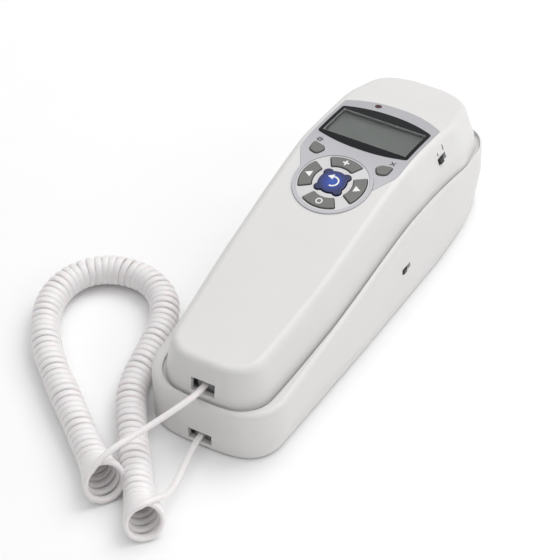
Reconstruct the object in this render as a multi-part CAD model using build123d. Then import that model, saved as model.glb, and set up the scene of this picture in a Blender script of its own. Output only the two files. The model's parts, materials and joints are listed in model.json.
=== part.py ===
from build123d import *
import os
from math import cos, radians, sin, tan

# Slim corded telephone: a handset with a caller display on its back and a keypad underneath,
# lying in a cradle base, and the curly cord between the two.
# Millimetres, +Z up, +Y towards the ear end, +X towards the switches.
# Everything is laid out from the cord end of the base (y = 0) and save() moves it to the
# part's origin, which is on the table under the middle of the phone.

LENGTH = 210.0
WALL = 2.2
GAP = 0.4                      # around every key, knob and plunger
RUNNING_FIT = 0.1              # between pieces of one body
REACH = 60.0                   # wider than the phone

# Height of the joint between handset and base along the phone: the backbone of both halves.
SEAM = [(-10, 24.8), (14, 25.2), (50, 29.7), (84, 35.4), (117, 41.2), (134, 42.6),
        (152, 41.4), (185, 36.2), (225, 28.6)]
HANDSET_RISE = 18.5            # seam to the handset's top face
HANDSET_SINK = 1.5             # how far the handset sits below the base's rim
CRADLE_DEPTH = 2.0
PARTING_RISE = 3.6             # seam to the joint between the handset's two shells
PANEL_DEPTH = 1.2
SKIN = 1.1                     # front shell left under the panel

# Plan outlines: half of each, as (x, y, corner radius) from the cord end to the ear end.
LOW, HIGH = 20.0, 66.0         # the two heights at which the handset's outlines are given
HANDSET_LOW = [(7, 2.8, 40), (23.8, 4.4, 16), (31.7, 62, 150), (39.3, 134, 60),
               (39.5, 176, 40), (31.8, 203, 20), (13, 210, 40)]
HANDSET_HIGH = [(4, 8.6, 30), (17.2, 9.6, 12), (20.8, 62, 300), (24.7, 134, 60),
                (23.8, 176, 40), (18.5, 197, 13), (8, 202, 16)]
BASE_RIM = [(9, 0, 50), (30.8, 3.0, 19), (33.4, 80, 300), (35.3, 165, 70),
            (33.8, 191, 30), (27.5, 206.4, 16), (12, 210, 50)]
BASE_SOLE = [(9, -0.5, 50), (28.9, 2.2, 17), (32.4, 80, 300), (34.3, 150, 80),
             (33.2, 176, 40), (28, 202.4, 15), (12, 206.4, 30)]
CRADLE = [(8, 2.5, 40), (24.9, 4.4, 16), (29.9, 60, 200), (33.7, 140, 90),
          (34.3, 175, 50), (32.4, 193, 24), (25.8, 205.4, 14), (12, 208.6, 50)]
# Display panel: its foot lies under the ring of keys. Display frame: its ends bulge.
PANEL = [(8, 105, 2), (15.5, 112, 6), (23.6, 127, 9), (23.6, 168, 1.5), (12.3, 174.9, 38)]
FRAME = [(10.5, 136.1, 65), (22, 139.4, 1.5), (22, 162.6, 1.5), (11.3, 167.3, 48)]
SOLE_FLARE = 6.5               # how much the sole's outline has grown at FLARE_TOP
FLARE_TOP = 46.0

BASE_BOTTOM = 1.0
COVER_Z = (0.8, 2.4)
BOARD_Z = (9.0, 10.2)

# Stations along the phone
MOUTH_Y, KEYPAD_Y, RING_Y, SHORTCUT_Y, DISPLAY_Y, EAR_Y = 36.0, 96.0, 113.0, 128.3, 151.0, 178.0
SHORTCUT_X = 16.0
LIGHT = (-8.8, 171.3)
HOOK_Y = 147.0
KEYPAD_Z, KEYPAD_TILT = 37.6, 10.0
EAR_Z, EAR_TILT = 37.4, -10.0

# Keys and switches
KEY_PROUD = 0.8
SEGMENT_R = (9.2, 14.8)
SEGMENT_HALF_ANGLE = 31.5
BEZEL_R = 17.6
DIAL_PITCH = (14.5, 13.0)
DIAL_KEY = (10.4, 7.6)
SWITCH_TRAVEL = 3.0
KNOB = (3.2, 2.2)
RINGER = (116.0, 21.0)
VOLUME = (158.0, 50.8)

# Handset cord
COIL_D = 13.4
CORD_D = 3.1
COIL_Z = 6.9
COIL_ROUTE = [(-23, -41), (-49, -18), (-69, -2), (-87, 14), (-99, 33), (-101, 52), (-91, 67),
              (-73, 71), (-57, 64), (-48, 49), (-43.5, 30), (-39.8, 10), (-28.5, -8), (-16, -24), (-5, -39),
              (8, -56)]
PLUG = (7.5, 11.0, 4.8)
SOCKET = (8.0, 11.5, 5.3)
HANDSET_JACK_Z, BASE_JACK_Z = 30.3, 5.6


# ---------------------------------------------------------------- helpers

def save(shape, name):
    """Move a shape from the layout to the part's own origin and write it."""
    export_step(Pos(0, -LENGTH / 2, 0) * shape, f"parts/{name}.step")


def outline(half, grow=0.0):
    """Closed plan outline from its right half, grown evenly on all sides."""
    corners = half + [(-x, y, r) for x, y, r in reversed(half)]
    points = [Vector(x, y) for x, y, r in corners]
    moved = []
    for i, point in enumerate(points):
        before = (point - points[i - 1]).normalized()
        after = (points[(i + 1) % len(points)] - point).normalized()
        side_a, side_b = Vector(before.Y, -before.X), Vector(after.Y, -after.X)
        moved.append(point + (side_a + side_b) * (grow / (1 + side_a.dot(side_b))))
    wire = FilletPolyline(*moved, radius=[r + grow for x, y, r in corners], close=True)
    return make_face(wire.edges())


def lofted(low, low_z, high, high_z):
    return loft([Pos(0, 0, low_z) * low.face(), Pos(0, 0, high_z) * high.face()], ruled=True)


def prism(sketch, low_z=-20.0, high_z=90.0):
    return extrude(Pos(0, 0, low_z) * sketch, high_z - low_z, dir=(0, 0, 1))


def seam_line(rise):
    return Spline(*[(y, z + rise) for y, z in SEAM])


def layer(low, high):
    """Everything between two heights above the seam, following it along the phone."""
    under, over = seam_line(low), seam_line(high)
    face = make_face([under, Line(under @ 1, over @ 1), over, Line(over @ 0, under @ 0)])
    return Pos(-REACH, 0, 0) * extrude(Plane.YZ * face, 2 * REACH, dir=(1, 0, 0))


def under_seam(rise, floor):
    """Everything from a flat floor up to a height above the seam."""
    over = seam_line(rise)
    start, end = over @ 0, over @ 1
    corners = [(end.X, end.Y), (end.X, floor), (start.X, floor), (start.X, start.Y)]
    face = make_face([over, Polyline(*corners)])
    return Pos(-REACH, 0, 0) * extrude(Plane.YZ * face, 2 * REACH, dir=(1, 0, 0))


def seam_z(y):
    """Height of the seam at a station, close enough for placing things on it."""
    pairs = zip(SEAM, SEAM[1:])
    (y0, z0), (y1, z1) = next(p for p in pairs if p[0][0] <= y <= p[1][0])
    return z0 + (z1 - z0) * (y - y0) / (y1 - y0)


def tilted(y, z, tilt):
    """A frame on the phone's middle plane, tilted with the seam."""
    return Pos(0, y, z) * Rot(tilt, 0, 0)


def block(x, y, z):
    """Box between pairs of limits."""
    return Pos(sum(x) / 2, sum(y) / 2, sum(z) / 2) * Box(x[1] - x[0], y[1] - y[0], z[1] - z[0])


def post(x, y, low_z, high_z, radius):
    return Pos(x, y, (low_z + high_z) / 2) * Cylinder(radius, high_z - low_z)


def top_edges(solid):
    return solid.faces().sort_by(Axis.Z)[-1].edges()


def handset_block(grow=0.0):
    """The handset's drafted walls, with no top or bottom."""
    return lofted(outline(HANDSET_LOW, grow), LOW, outline(HANDSET_HIGH, grow), HIGH)


# ---------------------------------------------------------------- base

BASE_POSTS = [(x, y) for y in (58, 148) for x in (-25.5, 25.5)]
FEET = [(x, y) for y in (20, 184) for x in (-19, 19)]
HANGERS = [(0, 64), (0, 64 + 82.55)]       # keyholes, as far apart as a wall plate's studs


def base_walls(grow=0.0):
    rim = prism(outline(BASE_RIM, grow), 0, FLARE_TOP)
    flare = lofted(outline(BASE_SOLE, grow), 0, outline(BASE_SOLE, grow + SOLE_FLARE), FLARE_TOP)
    return rim & flare


def ear_pocket(grow, depth):
    return tilted(EAR_Y, EAR_Z, EAR_TILT) * Pos(0, 0, 10 - depth / 2) * Cylinder(22.6 + grow, depth + 20)


def mouth_pocket(grow, floor_z):
    return prism(Pos(0, MOUTH_Y) * RectangleRounded(41 + 2 * grow, 25 + 2 * grow, 7), floor_z, 60)


def base_housing():
    body = base_walls() & under_seam(0, BASE_BOTTOM)
    body = fillet(top_edges(body), 2.4)
    body -= prism(outline(CRADLE), 10, 70) & layer(-CRADLE_DEPTH, 20)
    body -= ear_pocket(0, 7.6)
    body -= mouth_pocket(0, 19.6)
    hollow = base_walls(-WALL) & under_seam(-CRADLE_DEPTH - WALL, 0)
    hollow -= ear_pocket(WALL, 7.6 + WALL)
    hollow -= mouth_pocket(WALL, 19.6 - WALL)
    for x, y in BASE_POSTS:
        hollow -= post(x, y, 3.2, 60, 3.4)
    body -= hollow
    body -= prism(outline(BASE_SOLE, -1.2), 0, COVER_Z[1])
    for x, y in BASE_POSTS:
        body -= post(x, y, 0, 14, 1.25)
    body -= Pos(0, HOOK_Y, 38) * Box(9 + 2 * GAP, 6 + 2 * GAP, 20)
    body -= block((-5.6, 5.6), (-2, 4), (2.9, 8.3))
    body -= block((-6.2, 6.2), (195, 215), (6.5, 16.5))
    body -= switch_slot(*ringer_frame())
    body -= block((-5, 5), (199.5, 203.5), (28, 45))
    return body


def wall_tab():
    """Small hook that holds the handset by its ear end when the phone hangs on a wall."""
    y, top = 201.5, seam_z(201.5) - CRADLE_DEPTH
    return block((-4.8, 4.8), (y - 1.8, y + 1.8), (28.2, top))


def bottom_cover():
    cover = prism(outline(BASE_SOLE, -1.2 - RUNNING_FIT), *COVER_Z)
    for x, y in FEET:
        cover -= post(x, y, 0, 1.5, 4.6)
    for x, y in BASE_POSTS:
        cover -= post(x, y, 0, 3, 1.5)
        cover -= post(x, y, 0, 1.5, 2.9)
    for x, y in HANGERS:
        keyhole = Pos(x, y) * Circle(4) + Pos(x, y + 5) * Rot(0, 0, 90) * SlotCenterToCenter(10, 3.8)
        cover -= prism(keyhole, 0, 3)
    return cover


def rubber_feet():
    foot = fillet(Cylinder(4.5, 1.5).edges().sort_by(Axis.Z)[0], 0.4)
    return Part() + [Pos(x, y, 0.75) * foot for x, y in FEET]


def base_screws():
    screws = []
    for x, y in BASE_POSTS:
        screws.append(post(x, y, 0.9, 1.5, 2.5) + post(x, y, 1.4, 12, 1.15))
    return Part() + screws


def base_weight():
    plate = block((-21, 21), (78, 128), (2.5, 6.5))
    return fillet(plate.edges().filter_by(Axis.Z), 3)


def base_circuit_board():
    board = block((-21, 21), (64, 158), BOARD_Z)
    return board - block((10, 30), (60, 70), (0, 20))


def buzzer():
    case = post(-8, 92, BOARD_Z[1], BOARD_Z[1] + 8, 12)
    return fillet(case.edges().sort_by(Axis.Z)[-1], 1) - post(-8, 92, BOARD_Z[1] + 6, 30, 1.5)


def jack(y, z, depth):
    """Modular jack opening towards the cord end."""
    body = block((-6.5, 6.5), (y, y + depth), (z - 3.1, z + 4.9))
    body -= block((-SOCKET[0] / 2, SOCKET[0] / 2), (y - 1, y + SOCKET[1]),
                  (z - SOCKET[2] / 2, z + SOCKET[2] / 2))
    body -= block((-1.8, 1.8), (y - 1, y + SOCKET[1]), (z, z + 4))
    return body


def line_jack():
    """Wall-line socket in the ear end of the base."""
    body = block((-6, 6), (186, 200.5), (6.7, 16.3))
    return body - block((-4.9, 4.9), (189, 210), (8.1, 14.8))


def ringer_frame():
    return Pos(33.9, *RINGER), Rot(0, 0, 0)


def volume_frame():
    return Pos(29.4, *VOLUME), Rot(0, -18.5, 0)


def switch_slot(place, turn):
    """Slot through a side wall; the frame's x points out of the wall."""
    length = KNOB[0] + SWITCH_TRAVEL + 2 * GAP
    return place * turn * Pos(0, SWITCH_TRAVEL / 2, 0) * Box(16, length, KNOB[1] + 2 * GAP)


def switch_knob(place, turn):
    grip = Pos(-1.2, 0, 0) * Box(4.2, *KNOB)
    grip = fillet(grip.edges().filter_by(Axis.Z).sort_by(Axis.X)[-2:], 0.5)
    return place * turn * (grip + Pos(-3.1, 0, 0) * Box(0.8, KNOB[0] + 1, KNOB[1] + 0.6))


def switch_body(place, turn):
    body = Pos(-6.6, SWITCH_TRAVEL / 2, 0) * Box(5, 11, 5.4)
    track = Pos(-3.5, SWITCH_TRAVEL / 2, 0) * Box(3, KNOB[0] + SWITCH_TRAVEL + 2, KNOB[1] + 1.4)
    return place * turn * (body - track)


def hook_plunger():
    top = seam_z(HOOK_Y) - CRADLE_DEPTH + 0.1
    cap = block((-4.5, 4.5), (HOOK_Y - 3, HOOK_Y + 3), (top - 7, top))
    cap = fillet(cap.edges().group_by(Axis.Z)[-1], 0.8)
    collar = block((-6.5, 6.5), (HOOK_Y - 4.2, HOOK_Y + 4.2), (top - 9.5, top - 7.9))
    stem = post(0, HOOK_Y, top - 22, top - 5, 1.6)
    return cap + block((-4.5, 4.5), (HOOK_Y - 3, HOOK_Y + 3), (top - 9, top - 6)) + collar + stem


def hook_switch_body():
    body = block((-6, 6), (HOOK_Y - 6, HOOK_Y + 6), (BOARD_Z[1], BOARD_Z[1] + 8.5))
    return body - post(0, HOOK_Y, BOARD_Z[1] + 2, 60, 1.6 + GAP)


def hook_spring():
    bottom = BOARD_Z[1] + 8.5
    top = seam_z(HOOK_Y) - CRADLE_DEPTH + 0.1 - 9.5
    path = Helix(pitch=(top - bottom - 0.8) / 5, height=top - bottom - 0.8, radius=3.2)
    wire = sweep(Plane(origin=path @ 0, z_dir=path % 0) * Circle(0.35), path=path)
    return Pos(0, HOOK_Y, bottom + 0.4) * wire


# ---------------------------------------------------------------- handset shells

HANDSET_POSTS = [(0, 52), (-25, 140), (25, 140)]


def handset_hollow():
    return handset_block(-WALL)


def window_outline(grow=0.0):
    return Pos(0, DISPLAY_Y) * RectangleRounded(40.5 + 2 * grow, 19.5 + 2 * grow, 0.8 + max(grow, 0))


def segment_outline(direction, grow=0.0):
    """One quarter of the ring of keys, seen from above."""
    inner, outer = SEGMENT_R
    half = radians(SEGMENT_HALF_ANGLE)

    def at(radius, angle):
        return (radius * sin(angle), radius * cos(angle))

    edges = [
        ThreePointArc(at(inner, -half), at(inner, 0), at(inner, half)),
        Line(at(inner, half), at(outer, half)),
        ThreePointArc(at(outer, half), at(outer, 0), at(outer, -half)),
        Line(at(outer, -half), at(inner, -half)),
    ]
    face = fillet(make_face(edges).vertices(), 0.5)
    face = offset(face, amount=grow) if grow else face
    return Pos(0, RING_Y) * Rot(0, 0, direction) * face


def center_outline(grow=0.0):
    """Four-lobed middle key."""
    shape = Circle(6.2 + grow)
    for x in (-4.4, 4.4):
        for y in (-4.4, 4.4):
            shape += Pos(x, y) * Circle(1.9 + grow)
    return Pos(0, RING_Y) * fillet(shape.vertices(), 0.5)


def shortcut_outline(grow=0.0):
    """Teardrop key on the left of the ring, its point up and outwards."""
    drop = make_face(FilletPolyline((-3.4, 3.6), (-3.0, -2.2), (1.2, -3.3), (3.3, 0.4), (1.6, 2.4),
                                    radius=[1.0, 2.3, 1.8, 1.6, 1.6], close=True).edges())
    drop = offset(drop, amount=grow) if grow else drop
    return Pos(-SHORTCUT_X, SHORTCUT_Y) * drop


TOP_KEYS = {
    "key_up": lambda grow=0.0: segment_outline(0, grow),
    "key_left": lambda grow=0.0: segment_outline(90, grow),
    "key_down": lambda grow=0.0: segment_outline(180, grow),
    "key_right": lambda grow=0.0: segment_outline(270, grow),
    "key_center": center_outline,
    "key_set": shortcut_outline,
    "key_delete": lambda grow=0.0: mirror(shortcut_outline(grow), about=Plane.YZ),
}


def dial_place(column, row):
    """Frame of a dialling key: its z points into the handset."""
    spot = Pos(-column * DIAL_PITCH[0], -row * DIAL_PITCH[1], 0)
    return tilted(KEYPAD_Y, KEYPAD_Z, KEYPAD_TILT) * spot


def dial_box(width, length, low, high):
    return tilted(KEYPAD_Y, KEYPAD_Z, KEYPAD_TILT) * prism(RectangleRounded(width, length, 4), low, high)


def dial_outline(grow=0.0):
    return RectangleRounded(DIAL_KEY[0] + 2 * grow, DIAL_KEY[1] + 2 * grow, 2.4)


def handset_front_shell():
    body = handset_block() & layer(PARTING_RISE, HANDSET_RISE)
    body = fillet(top_edges(body), 4)
    hollow = handset_hollow() & layer(PARTING_RISE - 2, HANDSET_RISE - PANEL_DEPTH - SKIN)
    for x, y in HANDSET_POSTS:
        top_z = seam_z(y)
        hollow -= post(x, y, top_z + PARTING_RISE + 0.2, 90, 2.6)
    body -= hollow
    recess = outline(PANEL, RUNNING_FIT) + Pos(0, RING_Y) * Circle(BEZEL_R + RUNNING_FIT)
    body -= prism(recess) & layer(HANDSET_RISE - PANEL_DEPTH, 40)
    body -= prism(outline(FRAME, -1.0))
    for shape in TOP_KEYS.values():
        body -= prism(shape(GAP), 50)
    for x, y in HANDSET_POSTS:
        body -= post(x, y, 0, seam_z(y) + 12, 1.1)
    body -= post(*LIGHT, 20, 90, 1.6)
    body -= block((-5.6, 5.6), (-2, 8.8), (26.9, 33.8))
    body -= switch_slot(*volume_frame())
    return body


def handset_back_shell():
    inset = 0.35
    body = handset_block(-inset) & layer(-HANDSET_SINK, PARTING_RISE - 0.05)
    body += ear_cup(20, 7.0)
    body += mouth_cup(0, 21.0)
    hollow = handset_block(-inset - WALL) & layer(WALL - HANDSET_SINK, PARTING_RISE + 5)
    hollow += ear_cup(20 - WALL, 7.0 - WALL)
    hollow += mouth_cup(-WALL, 21.0 + WALL)
    hollow -= dial_box(50, 76, -20, 2.7)
    for x, y in HANDSET_POSTS:
        hollow -= post(x, y, 0, seam_z(y) + PARTING_RISE, 3.2)
    body -= hollow
    body -= dial_box(46, 72, -20, 0.5)
    for column in (-1, 0, 1):
        for row in range(-2, 3):
            body -= dial_place(column, row) * prism(dial_outline(GAP), -5, 6)
    for x, y in HANDSET_POSTS:
        body -= post(x, y, 0, 70, 1.4)
        body -= post(x, y, 0, seam_z(y) + 0.6, 2.9)
    body -= block((-5.6, 5.6), (-2, 8.8), (26.9, 33.8))
    body -= sound_holes(tilted(EAR_Y, EAR_Z, EAR_TILT), (0, 4, 8), -20, 0)
    body -= sound_holes(Pos(0, MOUTH_Y, 0), (0, 3), 10, 30)
    return body


def ear_cup(radius, depth):
    cone = Cone(radius - 2.4, radius, depth)
    cup = Pos(0, 0, -depth / 2) * cone + Pos(0, 0, 1) * Cylinder(radius, 2)
    return tilted(EAR_Y, EAR_Z, EAR_TILT) * cup


def mouth_cup(grow, floor_z):
    return prism(Pos(0, MOUTH_Y) * RectangleRounded(36 + 2 * grow, 20 + 2 * grow, 5), floor_z,
                 seam_z(MOUTH_Y) + 1.4)


def sound_holes(place, rings, low, high):
    """Rings of round holes, at 4 mm steps round each ring."""
    holes = []
    for radius in rings:
        count = max(1, round(6.283 * radius / 4))
        for i in range(count):
            angle = 360 * i / count
            spot = Rot(0, 0, angle) * Pos(radius, 0, 0)
            holes.append(place * spot * prism(Circle(0.8), low, high))
    return holes


# ---------------------------------------------------------------- handset, outside

def on_top(sketch, low, high):
    """Solid of a plan shape between two heights measured from the handset's top face."""
    return prism(sketch, 30, 90) & layer(HANDSET_RISE + low, HANDSET_RISE + high)


def display_panel():
    panel = on_top(outline(PANEL), -PANEL_DEPTH, 0.1)
    panel -= prism(outline(FRAME, RUNNING_FIT))
    panel -= prism(Pos(0, RING_Y) * Circle(BEZEL_R + RUNNING_FIT))
    for name in ("key_set", "key_delete"):
        panel -= prism(TOP_KEYS[name](GAP))
    return panel - post(*LIGHT, 20, 90, 1.6)


def display_frame():
    return on_top(outline(FRAME), -PANEL_DEPTH, 0.3) - prism(window_outline())


def display_window():
    return on_top(window_outline(-RUNNING_FIT), -0.9, -0.1)


def lcd_module():
    return on_top(window_outline(0.2), -4.4, -2.4)


def ring_bezel():
    """Pale disc that carries the ring keys, with a raised rim."""
    disc = on_top(Pos(0, RING_Y) * Circle(BEZEL_R), -PANEL_DEPTH, 0.5)
    disc -= on_top(Pos(0, RING_Y) * Circle(SEGMENT_R[1] + 1.2), 0.2, 5)
    for name in ("key_up", "key_left", "key_down", "key_right", "key_center"):
        disc -= prism(TOP_KEYS[name](GAP))
    return disc


def status_light():
    dome = on_top(Pos(*LIGHT) * Circle(1.5), -6.1, 0.3)
    return fillet(dome.edges().sort_by(Axis.Z)[-1], 0.25)


def top_key(shape, flange):
    """Key cap with a flange that keeps it under the front shell."""
    under = -PANEL_DEPTH - SKIN - 0.3
    cap = on_top(shape(), under - 0.9, KEY_PROUD)
    cap = fillet(top_edges(cap), 0.3)
    return cap + on_top(flange, under - 0.9, under)


def dome_mat():
    """Rubber sheet under the top keys, with a dome under each."""
    sheet = on_top(Pos(0, 113) * RectangleRounded(42, 42, 4), -6.1, -5.3)
    for x, y in [(0, RING_Y + 12), (0, RING_Y - 12), (-12, RING_Y), (12, RING_Y), (0, RING_Y),
                 (-SHORTCUT_X, SHORTCUT_Y), (SHORTCUT_X, SHORTCUT_Y)]:
        sheet += on_top(Pos(x, y) * Circle(1.6), -5.5, -4.7)
    return sheet


def display_board():
    board = on_top(Pos(0, 135) * RectangleRounded(42, 88, 2), -7.2, -6.1)
    for x, y in HANDSET_POSTS[1:]:
        board -= post(x, y, 0, 90, 3.2)
    return board


# ---------------------------------------------------------------- handset, inside

def dial_key():
    """Dialling key in its own frame, its face towards -z."""
    cap = prism(dial_outline(), -0.7, 3.6)
    cap = fillet(cap.faces().sort_by(Axis.Z)[0].edges(), 0.6)
    return cap + prism(RectangleRounded(12.2, 9.4, 3), 3.0, 3.8)


def dial_sheet(low, high):
    return dial_box(46, 72, low, high)


def keypad_mat():
    sheet = dial_sheet(5.7, 6.4)
    for column in (-1, 0, 1):
        for row in range(-2, 3):
            sheet += dial_place(column, row) * prism(Circle(2.0), 5.1, 5.9)
    return sheet


def earpiece_speaker():
    place = tilted(EAR_Y, EAR_Z, EAR_TILT)
    return place * (Pos(0, 0, -3.3) * Cylinder(14.5, 2.4) + Pos(0, 0, 0) * Cylinder(9, 6))


def microphone():
    return post(0, MOUTH_Y, 23.4, 27.4, 4.8)


def handset_screws():
    screws = []
    for x, y in HANDSET_POSTS:
        z = seam_z(y)
        screws.append(post(x, y, z - 0.9, z + 0.6, 2.5) + post(x, y, z, z + 11, 1.0))
    return Part() + screws


# ---------------------------------------------------------------- cord

def plug(y, z):
    """Modular plug, its cord side towards the cord end, with its latch on top."""
    body = block((-PLUG[0] / 2, PLUG[0] / 2), (y, y + PLUG[1]), (z - PLUG[2] / 2, z + PLUG[2] / 2))
    latch = block((-1.4, 1.4), (y + 1.0, y + PLUG[1] - 1.0), (z + PLUG[2] / 2 - 0.2, z + 3.4))
    return body + latch


def tube(route, diameter, name):
    """Round tube along straight runs joined by arcs as large as the runs allow."""
    points = [Vector(*p) for p in route]
    runs = [b - a for a, b in zip(points, points[1:])]
    radii = []
    for a, b in zip(runs, runs[1:]):
        turn = radians(a.get_angle(b))
        radii.append(0.45 * min(a.length, b.length) / tan(turn / 2))
    path = FilletPolyline(*points, radius=radii) if radii else Line(*points)
    body = sweep(Plane(origin=path @ 0, z_dir=path % 0) * Circle(diameter / 2), path=path)
    ratio = body.volume / (path.length * 3.14159 * diameter ** 2 / 4)
    print(f"{name}: length {path.length:.1f}, volume ratio {ratio:.4f}, radii",
          [round(r, 1) for r in radii])
    return body


HANDSET_PLUG_Y, BASE_PLUG_Y = 6.8, 2.4
HANDSET_LEAD = [(0, HANDSET_PLUG_Y, HANDSET_JACK_Z), (0, -3, HANDSET_JACK_Z), (-17.8, -38, 12.4)]
BASE_LEAD = [(0, BASE_PLUG_Y, BASE_JACK_Z), (0, -7, BASE_JACK_Z), (2.5, -52, 4)]


def main():
    os.makedirs("parts", exist_ok=True)

    save(base_housing(), "base_housing")
    save(bottom_cover(), "bottom_cover")
    save(rubber_feet(), "rubber_feet")
    save(base_screws(), "base_screws")
    save(base_weight(), "base_weight")
    save(base_circuit_board(), "base_circuit_board")
    save(buzzer(), "buzzer")
    save(jack(3.0, BASE_JACK_Z, 15), "base_cord_jack")
    save(line_jack(), "line_jack")
    save(wall_tab(), "wall_tab")
    save(switch_body(*ringer_frame()), "ringer_switch_body")
    save(switch_knob(*ringer_frame()), "ringer_knob")
    save(hook_switch_body(), "hook_switch_body")
    save(hook_spring(), "hook_spring")
    save(hook_plunger(), "hook_plunger")

    save(handset_front_shell(), "handset_front_shell")
    save(handset_back_shell(), "handset_back_shell")
    save(display_panel(), "display_panel")
    save(display_frame(), "display_frame")
    save(display_window(), "display_window")
    save(lcd_module(), "lcd_module")
    save(ring_bezel(), "ring_bezel")
    save(status_light(), "status_light")
    save(dome_mat(), "dome_mat")
    save(display_board(), "display_board")
    save(keypad_mat(), "keypad_mat")
    save(dial_sheet(6.4, 7.4), "keypad_board")
    save(earpiece_speaker(), "earpiece_speaker")
    save(microphone(), "microphone")
    save(jack(7.4, HANDSET_JACK_Z, 14), "handset_cord_jack")
    save(handset_screws(), "handset_screws")
    save(switch_body(*volume_frame()), "volume_switch_body")
    save(switch_knob(*volume_frame()), "volume_knob")
    for name in ("key_up", "key_left", "key_down", "key_right"):
        save(top_key(TOP_KEYS[name], TOP_KEYS[name](GAP + 0.3)), name)
    save(top_key(center_outline, Pos(0, RING_Y) * Circle(7.6)), "key_center")
    shortcut = top_key(shortcut_outline, shortcut_outline(GAP + 0.5))
    save(shortcut, "key_set")
    save(mirror(shortcut, about=Plane.YZ), "key_delete")

    dial_names = ["redial", "flash", "mute", "star", "0", "hash", "7", "8", "9", "4", "5", "6",
                  "1", "2", "3"]
    key = dial_key()
    for i, name in enumerate(dial_names):
        column, row = i % 3 - 1, 2 - i // 3
        save(dial_place(column, row) * key, f"dial_key_{name}")

    save(plug(HANDSET_PLUG_Y, HANDSET_JACK_Z), "handset_plug")
    save(plug(BASE_PLUG_Y, BASE_JACK_Z), "base_plug")
    save(tube([(x, y, COIL_Z) for x, y in COIL_ROUTE], COIL_D, "coil"), "cord_coil")
    save(tube(HANDSET_LEAD, CORD_D, "handset lead"), "handset_lead")
    save(tube(BASE_LEAD, CORD_D, "base lead"), "base_lead")


main()
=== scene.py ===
"""Visual model of a slim corded telephone. Lengths are in metres unless a name ends in _MM."""
import json
from math import cos, pi, radians, sin

import bpy
from mathutils import Matrix, Vector


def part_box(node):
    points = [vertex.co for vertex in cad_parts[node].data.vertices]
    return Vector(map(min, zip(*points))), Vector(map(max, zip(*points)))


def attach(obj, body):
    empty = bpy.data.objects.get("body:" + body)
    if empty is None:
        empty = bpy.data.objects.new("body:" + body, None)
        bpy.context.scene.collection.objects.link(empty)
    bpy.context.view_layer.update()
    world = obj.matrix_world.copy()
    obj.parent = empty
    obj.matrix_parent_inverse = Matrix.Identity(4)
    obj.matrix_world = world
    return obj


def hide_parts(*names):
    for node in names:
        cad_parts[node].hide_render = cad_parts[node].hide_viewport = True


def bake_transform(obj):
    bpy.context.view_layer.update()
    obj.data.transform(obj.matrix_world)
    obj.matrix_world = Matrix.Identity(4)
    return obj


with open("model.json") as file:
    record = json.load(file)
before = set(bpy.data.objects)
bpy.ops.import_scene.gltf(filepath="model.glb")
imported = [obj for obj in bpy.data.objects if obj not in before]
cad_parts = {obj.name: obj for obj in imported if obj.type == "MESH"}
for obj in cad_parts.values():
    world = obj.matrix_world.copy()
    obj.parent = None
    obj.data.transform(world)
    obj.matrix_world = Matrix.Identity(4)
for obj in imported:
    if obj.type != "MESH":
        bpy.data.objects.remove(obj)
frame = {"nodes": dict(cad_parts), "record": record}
nodes = frame["nodes"]
scene = bpy.context.scene

MM = 0.001
UP = Vector((0, 0, 1))
ALONG = Vector((0, 1, 0))      # from the cord end to the ear end
RIGHT = Vector((1, 0, 0))      # to the side with the switches

# Places in millimetres, with y measured from the cord end.
MIDDLE_MM = 105.0              # half the phone's length: y = 0 of the frame
RING_Y_MM = 113.0              # middle of the round key group


def write_size():
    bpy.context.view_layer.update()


write_size()


# ---------------------------------------------------------------- materials
COAT_ROUGHNESS = 0.08
SCATTER_DEPTH = 2 * MM
GRAIN_DEPTH = 0.1 * MM
DRIFT_SCALE, DRIFT_DETAIL, GRAIN_DETAIL = 35, 4, 3
RINGED_REACH_MM = 20           # radius at the far end of a ringed colour ramp


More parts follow.
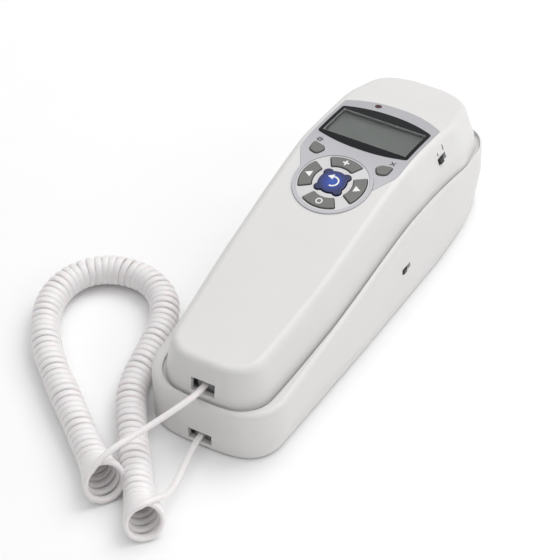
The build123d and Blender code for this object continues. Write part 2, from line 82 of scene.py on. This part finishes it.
def material(name, color, roughness, bump=0.05, grain=900, tint=0.03, wear=0.06, metallic=0.0,
             coat=0.0, transmission=0.0, ior=1.5, scatter=0.0, specular=0.5):
    """Procedural surface: fine grain in the bump, slow drift in colour and roughness."""
    made = bpy.data.materials.new(name)
    made.use_nodes = True
    tree = made.node_tree
    shader = tree.nodes["Principled BSDF"]
    shader.inputs["Metallic"].default_value = metallic
    shader.inputs["Coat Weight"].default_value = coat
    shader.inputs["Coat Roughness"].default_value = COAT_ROUGHNESS
    shader.inputs["Transmission Weight"].default_value = transmission
    shader.inputs["IOR"].default_value = ior
    shader.inputs["Specular IOR Level"].default_value = specular
    shader.inputs["Subsurface Weight"].default_value = scatter
    shader.inputs["Subsurface Scale"].default_value = SCATTER_DEPTH
    place = tree.nodes.new("ShaderNodeTexCoord")

    drift = tree.nodes.new("ShaderNodeTexNoise")
    drift.inputs["Scale"].default_value = DRIFT_SCALE
    drift.inputs["Detail"].default_value = DRIFT_DETAIL
    tree.links.new(place.outputs["Object"], drift.inputs["Vector"])
    ramp = tree.nodes.new("ShaderNodeValToRGB")
    ramp.color_ramp.elements[0].position = 0.3
    ramp.color_ramp.elements[1].position = 0.7
    ramp.color_ramp.elements[0].color = [c * (1 - tint) for c in color] + [1]
    ramp.color_ramp.elements[1].color = [min(1, c * (1 + tint)) for c in color] + [1]
    tree.links.new(drift.outputs["Fac"], ramp.inputs["Fac"])
    tree.links.new(ramp.outputs["Color"], shader.inputs["Base Color"])

    rub = tree.nodes.new("ShaderNodeMapRange")
    rub.inputs["To Min"].default_value = max(0.02, roughness - wear)
    rub.inputs["To Max"].default_value = min(1, roughness + wear)
    tree.links.new(drift.outputs["Fac"], rub.inputs["Value"])
    tree.links.new(rub.outputs["Result"], shader.inputs["Roughness"])

    fine = tree.nodes.new("ShaderNodeTexNoise")
    fine.inputs["Scale"].default_value = grain
    fine.inputs["Detail"].default_value = GRAIN_DETAIL
    tree.links.new(place.outputs["Object"], fine.inputs["Vector"])
    relief = tree.nodes.new("ShaderNodeBump")
    relief.inputs["Strength"].default_value = bump
    relief.inputs["Distance"].default_value = GRAIN_DEPTH
    tree.links.new(fine.outputs["Fac"], relief.inputs["Height"])
    tree.links.new(relief.outputs["Normal"], shader.inputs["Normal"])
    return made


def ringed(made, center, bands):
    """Colour by distance from a vertical line: bands are (radius in mm, colour), from the inside out."""
    tree = made.node_tree
    place = tree.nodes.new("ShaderNodeTexCoord")
    flat = tree.nodes.new("ShaderNodeVectorMath")
    flat.operation = "MULTIPLY_ADD"
    flat.inputs[1].default_value = (1, 1, 0)
    flat.inputs[2].default_value = (-center[0], -center[1], 0)
    tree.links.new(place.outputs["Object"], flat.inputs[0])
    reach = tree.nodes.new("ShaderNodeVectorMath")
    reach.operation = "LENGTH"
    tree.links.new(flat.outputs["Vector"], reach.inputs[0])
    share = tree.nodes.new("ShaderNodeMapRange")
    share.inputs["From Max"].default_value = RINGED_REACH_MM * MM
    tree.links.new(reach.outputs["Value"], share.inputs["Value"])
    ramp = tree.nodes.new("ShaderNodeValToRGB")
    while len(ramp.color_ramp.elements) < len(bands):
        ramp.color_ramp.elements.new(0.5)
    for element, (radius, color) in zip(ramp.color_ramp.elements, bands):
        element.position = radius / RINGED_REACH_MM
        element.color = (*color, 1)
    tree.links.new(share.outputs["Result"], ramp.inputs["Fac"])
    tree.links.new(ramp.outputs["Color"], tree.nodes["Principled BSDF"].inputs["Base Color"])


def paint_inside_box(made, center, half, outside, inside):
    """One colour outside an upright box and another inside it, lengths in mm.

    The reach is 1 at the box's walls. A ramp only reads 0 to 1, so the reach is halved for it.
    """
    tree = made.node_tree
    place = tree.nodes.new("ShaderNodeTexCoord")
    scaled = tree.nodes.new("ShaderNodeVectorMath")
    scaled.operation = "MULTIPLY_ADD"
    scaled.inputs[1].default_value = (1 / (half[0] * MM), 1 / (half[1] * MM), 0)
    scaled.inputs[2].default_value = (-center[0] / half[0], -center[1] / half[1], 0)
    tree.links.new(place.outputs["Object"], scaled.inputs[0])
    reach = tree.nodes.new("ShaderNodeVectorMath")
    reach.operation = "ABSOLUTE"
    tree.links.new(scaled.outputs["Vector"], reach.inputs[0])
    split = tree.nodes.new("ShaderNodeSeparateXYZ")
    tree.links.new(reach.outputs["Vector"], split.inputs["Vector"])
    largest = tree.nodes.new("ShaderNodeMath")
    largest.operation = "MAXIMUM"
    tree.links.new(split.outputs["X"], largest.inputs[0])
    tree.links.new(split.outputs["Y"], largest.inputs[1])
    ramp = tree.nodes.new("ShaderNodeValToRGB")
    ramp.color_ramp.interpolation = "CONSTANT"
    ramp.color_ramp.elements[0].color = (*inside, 1)
    ramp.color_ramp.elements[1].position = 0.5
    ramp.color_ramp.elements[1].color = (*outside, 1)
    halved = tree.nodes.new("ShaderNodeMath")
    halved.operation = "MULTIPLY"
    halved.inputs[1].default_value = 0.5
    tree.links.new(largest.outputs["Value"], halved.inputs[0])
    tree.links.new(halved.outputs["Value"], ramp.inputs["Fac"])
    tree.links.new(ramp.outputs["Color"], tree.nodes["Principled BSDF"].inputs["Base Color"])


WHITE = (0.70, 0.69, 0.682)
SILVER = (0.48, 0.48, 0.505)
PALE = (0.62, 0.61, 0.62)
BLACK = (0.006, 0.007, 0.008)
# Painted highlight: lighter grey on the walls of the black display frame's opening, where they catch
# light.
OPENING_HIGHLIGHT = (0.42, 0.41, 0.42)

FINISHES = {
    "white_shell": dict(color=WHITE, roughness=0.38, bump=0.12, grain=1600, tint=0.012, scatter=0.04),
    "silver_panel": dict(color=SILVER, roughness=0.36, bump=0.1, grain=2500, metallic=0.25),
    "black_frame": dict(color=BLACK, roughness=0.2, bump=0.02, specular=0.3),
    "lcd": dict(color=(0.22, 0.225, 0.215), roughness=0.3, bump=0.03, grain=2200, tint=0.04),
    "red_lens": dict(color=(0.05, 0.004, 0.005), roughness=0.1, bump=0.02, coat=0.6),
    "bezel": dict(color=(0.60, 0.60, 0.62), roughness=0.32, bump=0.08, grain=2500, metallic=0.15),
    "grey_key": dict(color=(0.155, 0.155, 0.148), roughness=0.4, bump=0.12, grain=1800),
    "blue_key": dict(color=(0.006, 0.03, 0.3), roughness=0.12, bump=0.02, coat=0.4, specular=0.35),
    "dial_key": dict(color=(0.42, 0.42, 0.43), roughness=0.45, bump=0.12, grain=1500),
    "black_knob": dict(color=(0.012, 0.012, 0.013), roughness=0.45, bump=0.2, grain=1500),
    "switch_body": dict(color=(0.03, 0.03, 0.033), roughness=0.5, bump=0.15, grain=1500),
    "jack": dict(color=(0.035, 0.036, 0.04), roughness=0.4, bump=0.1, grain=1200),
    "cord": dict(color=(0.85, 0.825, 0.825), roughness=0.36, bump=0.08, grain=1300, tint=0.02,
                 scatter=0.08),
    "rubber": dict(color=(0.05, 0.05, 0.05), roughness=0.75, bump=0.3, grain=1400),
    "mat_rubber": dict(color=(0.55, 0.55, 0.54), roughness=0.6, bump=0.1, scatter=0.2),
    "steel": dict(color=(0.56, 0.56, 0.55), roughness=0.34, bump=0.15, grain=700, metallic=1.0),
    "board": dict(color=(0.02, 0.12, 0.05), roughness=0.4, bump=0.2, grain=600, tint=0.1),
    "buzzer": dict(color=(0.015, 0.015, 0.016), roughness=0.5, bump=0.1),
    "speaker": dict(color=(0.05, 0.05, 0.05), roughness=0.6, bump=0.2),
    "mic": dict(color=(0.62, 0.62, 0.62), roughness=0.35, metallic=1.0),
    "window": dict(color=(0.90, 0.93, 0.92), roughness=0.06, bump=0.01, tint=0.01, wear=0.02,
                   transmission=1.0, ior=1.49),
    "plug": dict(color=(0.70, 0.72, 0.72), roughness=0.14, bump=0.02, tint=0.02, transmission=0.75),
}
MATERIALS = {name: material(name, **finish) for name, finish in FINISHES.items()}

# These three take their colour from bands or a box, in place of their finish's own. The blue key's bands
# are partly its own blue and partly painted light through clear plastic, and the display frame's opening
# walls carry a painted highlight.

RING_CENTER = (0, (RING_Y_MM - MIDDLE_MM) * MM)
BEZEL_BANDS = [(0, PALE), (15.6, PALE), (15.9, SILVER), (18, SILVER)]
# Partly the key's own blue and partly painted light: lighter in the middle and darker towards the edge,
# as light through clear blue plastic looks.
BLUE_KEY_GLOW_BANDS = [(0, (0.010, 0.075, 0.44)), (3.5, (0.005, 0.032, 0.25)), (6.2, (0.003, 0.009, 0.075)),
                  (9, (0.003, 0.008, 0.06))]
DISPLAY_CENTER_MM = (0, 46)            # from the frame's origin
DISPLAY_HALF_MM = (20.3, 9.82)         # half the display frame's opening, whose walls take the painted highlight
ringed(MATERIALS["bezel"], RING_CENTER, BEZEL_BANDS)
ringed(MATERIALS["blue_key"], RING_CENTER, BLUE_KEY_GLOW_BANDS)
# The black frame's opening walls take the painted highlight in place of black.
paint_inside_box(MATERIALS["black_frame"], DISPLAY_CENTER_MM, DISPLAY_HALF_MM, BLACK, OPENING_HIGHLIGHT)

INK = material("ink_white", (0.82, 0.82, 0.82), 0.5, bump=0.08)
DARK_INK = material("ink_dark", (0.03, 0.03, 0.035), 0.5, bump=0.08)
GOLD = material("gold_wire", (0.83, 0.6, 0.24), 0.25, metallic=1.0)

for part in frame["record"]["subparts"]:
    piece = nodes[part["node"]]
    surface = MATERIALS[part["material_slot"]]
    if piece.data.materials:
        for index in range(len(piece.data.materials)):
            piece.data.materials[index] = surface
    else:
        piece.data.materials.append(surface)

BEVELS_MM = {"handset_front_shell": 0.25, "handset_back_shell": 0.25, "base_housing": 0.3}
BEVEL_FROM_DEGREES = 50        # only edges that turn by more than this
for name, width in BEVELS_MM.items():
    bevel = nodes[name].modifiers.new("edges", "BEVEL")
    bevel.width = width * MM
    bevel.segments = 2
    bevel.limit_method = "ANGLE"
    bevel.angle_limit = radians(BEVEL_FROM_DEGREES)


# ---------------------------------------------------------------- helpers
def point(x, y, z):
    """Point in the frame from millimetres, y measured from the cord end."""
    return Vector((x, y - MIDDLE_MM, z)) * MM


def new_mesh(name, vertices, faces, surface):
    """Mesh object in the scene, with one material."""
    data = bpy.data.meshes.new(name)
    data.from_pydata([tuple(v) for v in vertices], [], faces)
    data.validate()
    data.materials.append(surface)
    made = bpy.data.objects.new(name, data)
    scene.collection.objects.link(made)
    return made


def prisms(name, laid, surface):
    """Mesh of thin prisms, each from its lower and its upper outline."""
    vertices, faces = [], []
    for low, high in laid:
        first = len(vertices)
        count = len(low)
        vertices += low + high
        faces.append([first + i for i in range(count)][::-1])
        faces.append([first + count + i for i in range(count)])
        for i in range(count):
            after = (i + 1) % count
            faces.append([first + i, first + after, first + count + after, first + count + i])
    return new_mesh(name, vertices, faces, surface)


INK_RISE_MM, INK_SINK_MM = 0.04, 0.02


def printed(name, outlines, middle, across, along, node, surface, body):
    """Printed marks: flat outlines thrown onto a node's face.

    middle is a point off that face, in front of the marks' middle. across and along are the
    outlines' two directions, to the right and up for a reader who looks at the face.
    """
    outward = across.cross(along)
    laid = []
    for line in outlines:
        thrown = [nodes[node].ray_cast(middle + (across * x + along * y) * MM, -outward) for x, y in line]
        if all(found for found, *_ in thrown):
            laid.append(([spot - outward * INK_SINK_MM * MM for _, spot, *_ in thrown],
                         [spot + outward * INK_RISE_MM * MM for _, spot, *_ in thrown]))
    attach(prisms(name, laid, surface), body)


def bar(x0, y0, x1, y1):
    """Outline of an upright rectangle."""
    return [(x0, y0), (x1, y0), (x1, y1), (x0, y1)]


def stroke(a, b, width):
    """Outline of a straight line of that width between two points."""
    along = (Vector(b) - Vector(a)).normalized() * width / 2
    side = Vector((-along.y, along.x))
    a, b = Vector(a), Vector(b)
    return [tuple(a - side), tuple(b - side), tuple(b + side), tuple(a + side)]


def strokes(points, width):
    """Outlines of a bent line, one for each of its straight runs."""
    return [stroke(a, b, width) for a, b in zip(points, points[1:])]


def around(radius, degrees):
    """Point on a circle."""
    return radius * cos(radians(degrees)), radius * sin(radians(degrees))


def arc(radius, start, end, steps):
    """Points on a circle from one angle to another, in degrees."""
    return [around(radius, start + (end - start) * i / steps) for i in range(steps + 1)]


OVAL_POWER = 0.72              # below 1, it squares a circle off


def squared(value):
    """Pushes a cosine or sine outwards, which makes a flat-sided oval of a circle."""
    return abs(value) ** OVAL_POWER * (1 if value > 0 else -1)


def tube(name, path, surface, wide, high, up, sides=12):
    """Mesh tube of flat oval section along a path. wide and up have one value for each point."""
    vertices, faces = [], []
    for i, spot in enumerate(path):
        ahead = (path[min(i + 1, len(path) - 1)] - path[max(i - 1, 0)]).normalized()
        tall = up[i] - ahead * up[i].dot(ahead)
        tall.normalize()
        flat = ahead.cross(tall)
        for k in range(sides):
            turn = 2 * pi * k / sides
            vertices.append(spot + tall * (high / 2 * squared(sin(turn)))
                            + flat * (wide[i] / 2 * squared(cos(turn))))
    for i in range(len(path) - 1):
        for k in range(sides):
            a, b = i * sides + k, i * sides + (k + 1) % sides
            faces.append([a, b, b + sides, a + sides])
    faces.append(list(range(sides))[::-1])
    last = (len(path) - 1) * sides
    faces.append([last + k for k in range(sides)])
    made = new_mesh(name, vertices, faces, surface)
    for face in made.data.polygons:
        face.use_smooth = True
    return made


def sampled(points, resolution=40):
    """Smooth line through a few control points, as a list of points."""
    data = bpy.data.curves.new("route", "CURVE")
    data.dimensions = "3D"
    spline = data.splines.new("NURBS")
    spline.points.add(len(points) - 1)
    for control, spot in zip(spline.points, points):
        control.co = (*spot, 1)
    spline.order_u = 3
    spline.use_endpoint_u = True
    data.resolution_u = resolution
    holder = bpy.data.objects.new("route", data)
    scene.collection.objects.link(holder)
    line = bpy.data.meshes.new_from_object(holder)
    found = [v.co.copy() for v in line.vertices]
    bpy.data.objects.remove(holder)
    bpy.data.curves.remove(data)
    bpy.data.meshes.remove(line)
    return found


def length_of(path):
    """Length of a line through points."""
    return sum((b - a).length for a, b in zip(path, path[1:]))


def even(path, step):
    """The same line with points evenly spaced."""
    total = length_of(path)
    count = max(2, round(total / step))
    marks = [total * i / count for i in range(count + 1)]
    spots, done, index = [], 0.0, 0
    for mark in marks:
        while index < len(path) - 2 and done + (path[index + 1] - path[index]).length < mark:
            done += (path[index + 1] - path[index]).length
            index += 1
        span = (path[index + 1] - path[index]).length
        share = min(1, (mark - done) / span) if span else 0
        spots.append(path[index].lerp(path[index + 1], share))
    return spots


# ---------------------------------------------------------------- handset cord
COIL_ROUTE = [(-17.5, -43.5), (-49, -18), (-69, -2), (-87, 14), (-99, 33), (-101, 52), (-91, 67),
              (-73, 71), (-57, 64), (-48, 49), (-43.5, 30), (-39.8, 10), (-28.5, -8), (-16, -24),
              (-5, -39), (7.5, -53.5)]
COIL_OUTER_MM = 13.4
END_OUTER_MM = (19.0, 17.6)    # the rings widen towards both ends of the coil
FLARE_MM = (22.0, 22.0)        # over this length
END_LEAN = 0.34                # the end rings lean back by this slope
CORD_HIGH_MM = 2.2
RING_WIDE_MM, LEAD_WIDE_MM = 3.3, 2.6
PITCH_MM = 3.45
FIRST_TURN, LAST_TURN = 35, -14    # degrees past the top where the coil starts and ends
TURN_STEPS = 24
AXIS_STEP_MM, LEAD_STEP_MM = 0.4, 0.8
FLARE_POWER = 1.6
FLOOR_GAP_MM = 0.15            # clearance under the coil
SHRINK, SHRINK_TURNS = 0.045, 9.3      # the rings' size drifts by this share, once in so many turns
SHIFT_MM, SHIFT_TURNS = 0.35, 5.1      # and their place along the coil by this length
LEAD_RESOLUTION = 24
TAIL_IN_MM, TAIL_OUT_MM = 9, 6         # the leads run on in the end rings' direction for this far
WIDTH_BLEND = 8                # points on each side over which the cord's width changes

axis_line = even(sampled([point(x, y, 0) for x, y in COIL_ROUTE]), AXIS_STEP_MM * MM)
coil_length = length_of(axis_line)
turns = round(coil_length / (PITCH_MM * MM)) + (LAST_TURN - FIRST_TURN) / 360
coil_steps = round(turns * TURN_STEPS)


def flare(gone):
    """Share of each end's widening, at a length gone from the coil's start."""
    left, right = (max(0.0, 1 - reach / (span * MM)) ** FLARE_POWER
                   for reach, span in zip((gone, coil_length - gone), FLARE_MM))
    return left, right


coil_path, coil_up = [], []
for i in range(coil_steps + 1):
    share = i / coil_steps
    index = min(int(share * (len(axis_line) - 1)), len(axis_line) - 2)
    spot = axis_line[index].lerp(axis_line[index + 1], share * (len(axis_line) - 1) - index)
    ahead = (axis_line[index + 1] - axis_line[index]).normalized()
    side = ahead.cross(UP)
    start, end = flare(share * coil_length)
    turn = radians(FIRST_TURN) + 2 * pi * turns * share
    outer = (COIL_OUTER_MM + (END_OUTER_MM[0] - COIL_OUTER_MM) * start
             + (END_OUTER_MM[1] - COIL_OUTER_MM) * end)
    radius = (outer - CORD_HIGH_MM) / 2 * MM
    inner = (1 - start) * (1 - end)
    loose = 1 - SHRINK * (0.5 + 0.5 * sin(turn / SHRINK_TURNS)) * inner
    outward = UP * cos(turn) - side * sin(turn)
    lean = ahead * cos(turn) * END_LEAN * (start - end)
    shift = ahead * SHIFT_MM * MM * sin(turn / SHIFT_TURNS) * inner
    center = spot + UP * (radius + (CORD_HIGH_MM / 2 + FLOOR_GAP_MM) * MM)
    coil_path.append(center + (outward * loose + lean) * radius + shift)
    coil_up.append(outward)

before = (coil_path[0] - coil_path[1]).normalized()
after = (coil_path[-1] - coil_path[-2]).normalized()
lead_in = sampled([point(0, 8.5, 30.3), point(0, 1.5, 30.3), point(-2.5, -6, 29.2), point(-12, -22, 23.5),
                   coil_path[0] + before * TAIL_IN_MM * MM, coil_path[0]], LEAD_RESOLUTION)
lead_in = even(lead_in, LEAD_STEP_MM * MM)[:-1]
lead_out = sampled([coil_path[-1], coil_path[-1] + after * TAIL_OUT_MM * MM, point(7.5, -34, 7.6),
                    point(1.5, -12, 5.2), point(0, -3, 5.6), point(0, 4.5, 5.6)], LEAD_RESOLUTION)
lead_out = even(lead_out, LEAD_STEP_MM * MM)[1:]


def turning(path, first, last):
    """Section directions that turn evenly from one to the other along a path."""
    count = len(path)
    return [first.lerp(last, i / (count - 1)).normalized() for i in range(count)]


cord_path = lead_in + coil_path + lead_out
cord_up = turning(lead_in, UP, coil_up[0]) + coil_up + turning(lead_out, coil_up[-1], UP)
widths = [LEAD_WIDE_MM * MM] * len(lead_in) + [RING_WIDE_MM * MM] * len(coil_path)
widths += [LEAD_WIDE_MM * MM] * len(lead_out)
nearby = [widths[max(0, i - WIDTH_BLEND):i + WIDTH_BLEND + 1] for i in range(len(widths))]
widths = [sum(near) / len(near) for near in nearby]
cord = tube("handset_cord", cord_path, MATERIALS["cord"], widths, CORD_HIGH_MM * MM, cord_up)
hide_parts("cord_coil", "handset_lead", "base_lead")
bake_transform(cord)


# ---------------------------------------------------------------- marks on the keys
ABOVE_MM = 90                  # above the whole phone
RING_KEY_MM = 12               # from the middle of the ring to the middle of each outer key
SHORTCUT_X_MM, SHORTCUT_Y_MM = 18.0, 134.2     # the marks beside the two small keys
KEYPAD_Y_MM, KEYPAD_Z_MM, KEYPAD_TILT = 96.0, 37.6, radians(10)
DIAL_PITCH_MM = (14.5, 13.0)
DIGIT_MM, DIGIT_RAISED_MM = 5.2, 0.05
KEY_FACE_MM = 0.7              # from the keypad's plane down to the dialling keys' faces


def printed_above(name, outlines, x, y, node, surface, body):
    """Marks on an upper face, read from the cord end."""
    printed(name, outlines, point(x, y, ABOVE_MM), RIGHT, ALONG, node, surface, body)


RING_MARKS = {
    "key_left": ((-1, 0), [[(1.5, 1.7), (1.5, -1.7), (-1.5, 0)]]),
    "key_right": ((1, 0), [[(-1.5, 1.7), (-1.5, -1.7), (1.5, 0)]]),
    "key_up": ((0, 1), [bar(-1.5, -0.35, 1.5, 0.35), bar(-0.35, -1.5, 0.35, 1.5)]),
    "key_down": ((0, -1), strokes(arc(1.3, 0, 360, 18), 0.6)),
}
for key, ((x, y), outlines) in RING_MARKS.items():
    printed_above(f"{key}_mark", outlines, x * RING_KEY_MM, y * RING_KEY_MM + RING_Y_MM, key, INK, key)

back_arrow = strokes(arc(2.6, -100, 120, 18), 0.75) + [[(-3.4, 2.0), (-0.8, 3.9), (-0.6, 0.9)]]
printed_above("key_center_mark", back_arrow, 0, RING_Y_MM, "key_center", INK, "key_center")

gear = strokes(arc(0.8, 0, 360, 16), 0.5)
gear += [stroke(around(1.0, angle), around(1.65, angle), 0.5) for angle in range(0, 360, 60)]
printed_above("set_mark", gear, -SHORTCUT_X_MM, SHORTCUT_Y_MM, "display_panel", DARK_INK, "handset")
cross = [stroke((-1.1, -1.1), (1.1, 1.1), 0.5), stroke((-1.1, 1.1), (1.1, -1.1), 0.5)]
printed_above("delete_mark", cross, SHORTCUT_X_MM, SHORTCUT_Y_MM, "display_panel", DARK_INK, "handset")


def dial_frame(column, row):
    """Face of a dialling key, seen from below: x and y to the reader's right and up."""
    place = Matrix.Translation(point(0, KEYPAD_Y_MM, KEYPAD_Z_MM)) @ Matrix.Rotation(KEYPAD_TILT, 4, "X")
    spot = Vector((-column * DIAL_PITCH_MM[0], -row * DIAL_PITCH_MM[1], -KEY_FACE_MM)) * MM
    return place @ Matrix.Translation(spot) @ Matrix.Rotation(pi, 4, "Y")


def written(text):
    """Mesh of a generic character."""
    data = bpy.data.curves.new("character", "FONT")
    data.body = text
    data.size = DIGIT_MM * MM
    data.extrude = DIGIT_RAISED_MM * MM
    data.align_x = "CENTER"
    data.align_y = "CENTER"
    data.resolution_u = 4
    holder = bpy.data.objects.new("character", data)
    scene.collection.objects.link(holder)
    mesh = bpy.data.meshes.new_from_object(holder)
    bpy.data.objects.remove(holder)
    bpy.data.curves.remove(data)
    return mesh


DIAL_SIGNS = {digit: digit for digit in "123456789"} | {"star": "*", "0": "0", "hash": "#"}
for name, sign in DIAL_SIGNS.items():
    key = f"dial_key_{name}"
    low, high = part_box(key)
    center = (Vector(low) + Vector(high)) / 2
    column = round(-center.x / (DIAL_PITCH_MM[0] * MM))
    row = round(-(center.y - point(0, KEYPAD_Y_MM, 0).y) / (DIAL_PITCH_MM[1] * MM))
    mesh = written(sign)
    mesh.transform(dial_frame(column, row))
    mesh.materials.clear()
    mesh.materials.append(INK)
    mark = bpy.data.objects.new(f"{key}_mark", mesh)
    scene.collection.objects.link(mark)
    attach(mark, key)


# ---------------------------------------------------------------- marks beside the volume switch
BESIDE_MM = 60                         # right of the whole phone
VOLUME_Y_MM, VOLUME_Z_MM = 158, 50.8   # middle of the volume switch
volume_ticks = [bar(-1.2, 2.6, -0.6, 4.0), bar(3.9, 2.6, 4.5, 5.2)]
printed("volume_marks", volume_ticks, point(BESIDE_MM, VOLUME_Y_MM, VOLUME_Z_MM), ALONG, UP,
        "handset_front_shell", DARK_INK, "handset")


# ---------------------------------------------------------------- jack wires
WIRE_X_MM = (-1.5, -0.5, 0.5, 1.5)
WIRE_WIDE_MM, WIRE_THICK_MM, WIRE_LONG_MM = 0.36, 0.35, 9
WIRE_TILT = radians(-12)


def jack_wires(name, y, z, body):
    """Four sprung wires in a modular jack."""
    place = Matrix.Translation(point(0, y, z)) @ Matrix.Rotation(WIRE_TILT, 4, "X")
    laid = []
    for x in WIRE_X_MM:
        line = bar(x - WIRE_WIDE_MM / 2, 0, x + WIRE_WIDE_MM / 2, WIRE_LONG_MM)
        laid.append([[place @ (Vector((*spot, rise)) * MM) for spot in line]
                     for rise in (0, WIRE_THICK_MM)])
    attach(prisms(name, laid, GOLD), body)


jack_wires("handset_jack_wires", 9.0, 28.6, "handset")
jack_wires("base_jack_wires", 5.0, 3.9, "base")


# ---------------------------------------------------------------- floor, light and camera
FLOOR_HALF, FLOOR_Z = 6, -0.0001
LIGHTS = [
    # name, place, what it is aimed at, size, watts
    ("key", (0.3, 0.75, 1.25), (0, 0, 0.02), 1.1, 10.5),
    ("side", (1.1, -0.1, 0.6), (0, 0, 0.03), 0.9, 3.2),
    ("top", (-0.3, 0.1, 1.6), (0, 0, 0), 1.8, 8.5),
]
SKY_STRENGTH = 0.45
LENS_MM, SENSOR_MM = 141.43, 36
CAMERA_PLACE = (0.3499, -0.6263, 0.6633)
CAMERA_RIGHT = (0.8665, 0.4990, -0.0152)
CAMERA_BACK = (0.3777, -0.6353, 0.6737)

corners = [(x * FLOOR_HALF, y * FLOOR_HALF, FLOOR_Z) for x, y in ((-1, -1), (1, -1), (1, 1), (-1, 1))]
floor_surface = material("floor", (0.94, 0.94, 0.94), 0.9, bump=0.02, tint=0.004)
floor = new_mesh("floor", corners, [[0, 1, 2, 3]], floor_surface)

for name, place, target, size, watts in LIGHTS:
    light = bpy.data.lights.new(name, "AREA")
    light.size = size
    light.energy = watts
    lamp = bpy.data.objects.new(name, light)
    lamp.location = place
    lamp.rotation_euler = (Vector(target) - lamp.location).to_track_quat("-Z", "Y").to_euler()
    scene.collection.objects.link(lamp)

world = bpy.data.worlds.new("studio")
world.use_nodes = True
world.node_tree.nodes["Background"].inputs["Color"].default_value = (1, 1, 1, 1)
world.node_tree.nodes["Background"].inputs["Strength"].default_value = SKY_STRENGTH
scene.world = world
scene.view_settings.view_transform = "Standard"

camera_data = bpy.data.cameras.new("camera")
camera_data.lens = LENS_MM
camera_data.sensor_width = SENSOR_MM
camera = bpy.data.objects.new("camera", camera_data)
scene.collection.objects.link(camera)
back = Vector(CAMERA_BACK).normalized()
right = Vector(CAMERA_RIGHT)
right = (right - back * right.dot(back)).normalized()
facing = Matrix((right, back.cross(right), back)).transposed().to_4x4()
camera.matrix_world = Matrix.Translation(CAMERA_PLACE) @ facing
scene.camera = camera

write_size()
